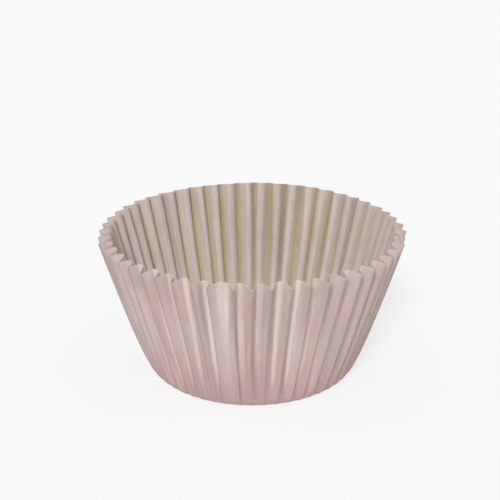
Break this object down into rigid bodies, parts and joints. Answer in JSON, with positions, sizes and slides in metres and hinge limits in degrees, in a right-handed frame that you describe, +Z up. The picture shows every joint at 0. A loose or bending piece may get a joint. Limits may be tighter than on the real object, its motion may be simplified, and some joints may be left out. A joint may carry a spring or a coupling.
{
  "type": "cupcake liner",
  "caption": "Pleated paper liner with a flat round floor and a flared fluted wall, which holds cake batter in a baking tin.",
  "frame": {"origin": "middle of the underside of the floor, on the surface that the liner stands on", "axes": "+Z up along the axis of the cup, from the floor to the rim; +X through the end of an outer ridge"},
  "size_m": [0.0738, 0.0738, 0.0354],
  "materials": {
    "liner_paper": "thin coated baking paper, pale pink with a soft pearly sheen, warm where light passes through it"
  },
  "bodies": {
    "root": {"liner": "liner_paper"}
  },
  "joints": []
}
